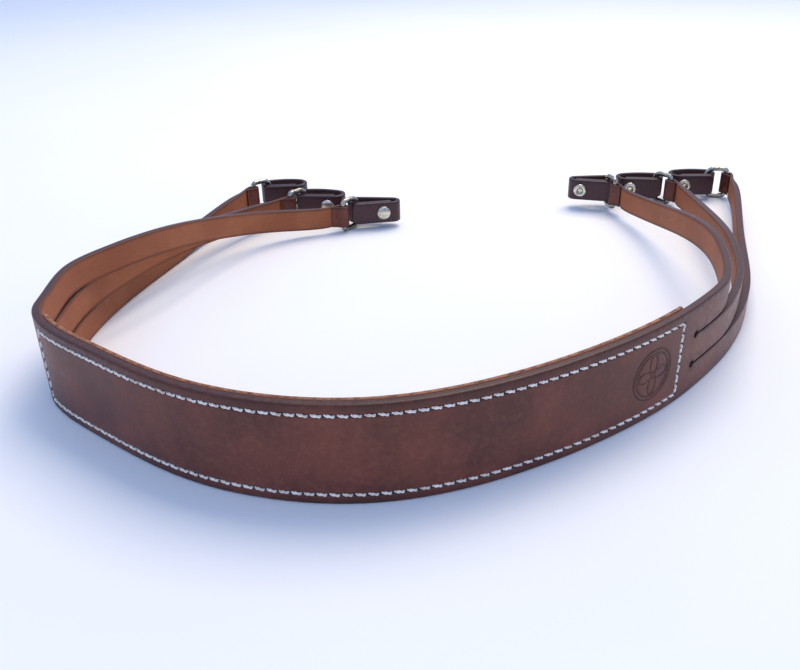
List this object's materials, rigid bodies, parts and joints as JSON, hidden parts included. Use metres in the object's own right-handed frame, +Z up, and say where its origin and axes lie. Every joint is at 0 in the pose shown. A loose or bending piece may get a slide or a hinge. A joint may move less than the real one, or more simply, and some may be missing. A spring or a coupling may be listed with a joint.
{
  "type": "leather breast strap",
  "caption": "Leather breast strap: a lined, stitched wide band whose ends are slit into narrow tails, each with a metal dee and a riveted leather loop.",
  "frame": {"origin": "under the middle of the whole piece, on the surface that it stands on", "axes": "+X along the width of the horseshoe, +Y from the stitched panel towards the open ends, +Z up along the strap's width"},
  "size_m": [0.3516, 0.3034, 0.0381],
  "materials": {
    "band_leather": "dark red-brown bridle leather, lighter tan-brown on the flesh side",
    "lining_leather": "orange-brown lining leather",
    "loop_leather": "dark brown latigo leather",
    "thread": "waxed off-white thread",
    "dee_metal": "nickel plated wire",
    "rivet_metal": "nickel plated rivet"
  },
  "bodies": {
    "band": {"wide_band": "band_leather", "band_lining": "lining_leather", "band_stitching_front": "thread", "band_stitching_back": "thread"},
    "left_upper_strap": {"left_upper_tail": "band_leather"},
    "left_upper_ring": {"left_upper_dee": "dee_metal"},
    "left_upper_keeper": {"left_upper_loop": "loop_leather", "left_upper_rivet_post": "rivet_metal", "left_upper_rivet_cap": "rivet_metal"},
    "left_middle_strap": {"left_middle_tail": "band_leather"},
    "left_middle_ring": {"left_middle_dee": "dee_metal"},
    "left_middle_keeper": {"left_middle_loop": "loop_leather", "left_middle_rivet_post": "rivet_metal", "left_middle_rivet_cap": "rivet_metal"},
    "left_lower_strap": {"left_lower_tail": "band_leather"},
    "left_lower_ring": {"left_lower_dee": "dee_metal"},
    "left_lower_keeper": {"left_lower_loop": "loop_leather", "left_lower_rivet_post": "rivet_metal", "left_lower_rivet_cap": "rivet_metal"},
    "right_upper_strap": {"right_upper_tail": "band_leather"},
    "right_upper_ring": {"right_upper_dee": "dee_metal"},
    "right_upper_keeper": {"right_upper_loop": "loop_leather", "right_upper_rivet_post": "rivet_metal", "right_upper_rivet_cap": "rivet_metal"},
    "right_middle_strap": {"right_middle_tail": "band_leather"},
    "right_middle_ring": {"right_middle_dee": "dee_metal"},
    "right_middle_keeper": {"right_middle_loop": "loop_leather", "right_middle_rivet_post": "rivet_metal", "right_middle_rivet_cap": "rivet_metal"},
    "right_lower_strap": {"right_lower_tail": "band_leather"},
    "right_lower_ring": {"right_lower_dee": "dee_metal"},
    "right_lower_keeper": {"right_lower_loop": "loop_leather", "right_lower_rivet_post": "rivet_metal", "right_lower_rivet_cap": "rivet_metal"}
  },
  "joints": [
    {"name": "left_upper_tail_flex", "type": "hinge", "parent": "band", "child": "left_upper_strap", "pos_m": [-0.17283, -0.06959, 0.032], "axis": [0, 0, 1], "range_deg": [-30, 1], "stiffness_Nm_per_rad": 0.05},
    {"name": "left_upper_dee_swivel", "type": "hinge", "parent": "left_upper_strap", "child": "left_upper_ring", "pos_m": [-0.06351, 0.09679, 0.0098], "axis": [0, 0, 1], "range_deg": [-45, 30]},
    {"name": "left_upper_loop_swivel", "type": "hinge", "parent": "left_upper_ring", "child": "left_upper_keeper", "pos_m": [-0.05515, 0.10675, 0.0098], "axis": [0, 0, 1], "range_deg": [-18, 45]},
    {"name": "left_middle_tail_flex", "type": "hinge", "parent": "band", "child": "left_middle_strap", "pos_m": [-0.17283, -0.06959, 0.01905], "axis": [0, 0, 1], "range_deg": [-1, 1], "stiffness_Nm_per_rad": 0.05},
    {"name": "left_middle_dee_swivel", "type": "hinge", "parent": "left_middle_strap", "child": "left_middle_ring", "pos_m": [-0.09551, 0.11479, 0.0098], "axis": [0, 0, 1], "range_deg": [-30, 25]},
    {"name": "left_middle_loop_swivel", "type": "hinge", "parent": "left_middle_ring", "child": "left_middle_keeper", "pos_m": [-0.08681, 0.12445, 0.0098], "axis": [0, 0, 1], "range_deg": [-10, 45]},
    {"name": "left_lower_tail_flex", "type": "hinge", "parent": "band", "child": "left_lower_strap", "pos_m": [-0.17283, -0.06959, 0.0061], "axis": [0, 0, 1], "range_deg": [-1, 30], "stiffness_Nm_per_rad": 0.05},
    {"name": "left_lower_dee_swivel", "type": "hinge", "parent": "left_lower_strap", "child": "left_lower_ring", "pos_m": [-0.12051, 0.13579, 0.0098], "axis": [0, 0, 1], "range_deg": [-12, 45]},
    {"name": "left_lower_loop_swivel", "type": "hinge", "parent": "left_lower_ring", "child": "left_lower_keeper", "pos_m": [-0.11055, 0.14415, 0.0098], "axis": [0, 0, 1], "range_deg": [-22, 45]},
    {"name": "right_upper_tail_flex", "type": "hinge", "parent": "band", "child": "right_upper_strap", "pos_m": [0.08359, -0.08082, 0.032], "axis": [0, 0, 1], "range_deg": [-1, 30], "stiffness_Nm_per_rad": 0.05},
    {"name": "right_upper_dee_swivel", "type": "hinge", "parent": "right_upper_strap", "child": "right_upper_ring", "pos_m": [0.09749, 0.11579, 0.0124], "axis": [0, 0, 1], "range_deg": [-30, 45]},
    {"name": "right_upper_loop_swivel", "type": "hinge", "parent": "right_upper_ring", "child": "right_upper_keeper", "pos_m": [0.09457, 0.12846, 0.0124], "axis": [0, 0, 1], "range_deg": [-45, 4]},
    {"name": "right_middle_tail_flex", "type": "hinge", "parent": "band", "child": "right_middle_strap", "pos_m": [0.08359, -0.08082, 0.01905], "axis": [0, 0, 1], "range_deg": [-1, 1], "stiffness_Nm_per_rad": 0.05},
    {"name": "right_middle_dee_swivel", "type": "hinge", "parent": "right_middle_strap", "child": "right_middle_ring", "pos_m": [0.1345, 0.12879, 0.0098], "axis": [0, 0, 1], "range_deg": [-18, 45]},
    {"name": "right_middle_loop_swivel", "type": "hinge", "parent": "right_middle_ring", "child": "right_middle_keeper", "pos_m": [0.12649, 0.13903, 0.0098], "axis": [0, 0, 1], "range_deg": [-45, 18]},
    {"name": "right_lower_tail_flex", "type": "hinge", "parent": "band", "child": "right_lower_strap", "pos_m": [0.08359, -0.08082, 0.0061], "axis": [0, 0, 1], "range_deg": [-30, 1], "stiffness_Nm_per_rad": 0.05},
    {"name": "right_lower_dee_swivel", "type": "hinge", "parent": "right_lower_strap", "child": "right_lower_ring", "pos_m": [0.1725, 0.13979, 0.0098], "axis": [0, 0, 1], "range_deg": [-45, 25]},
    {"name": "right_lower_loop_swivel", "type": "hinge", "parent": "right_lower_ring", "child": "right_lower_keeper", "pos_m": [0.16013, 0.14381, 0.0098], "axis": [0, 0, 1], "range_deg": [-45, 25]}
  ]
}
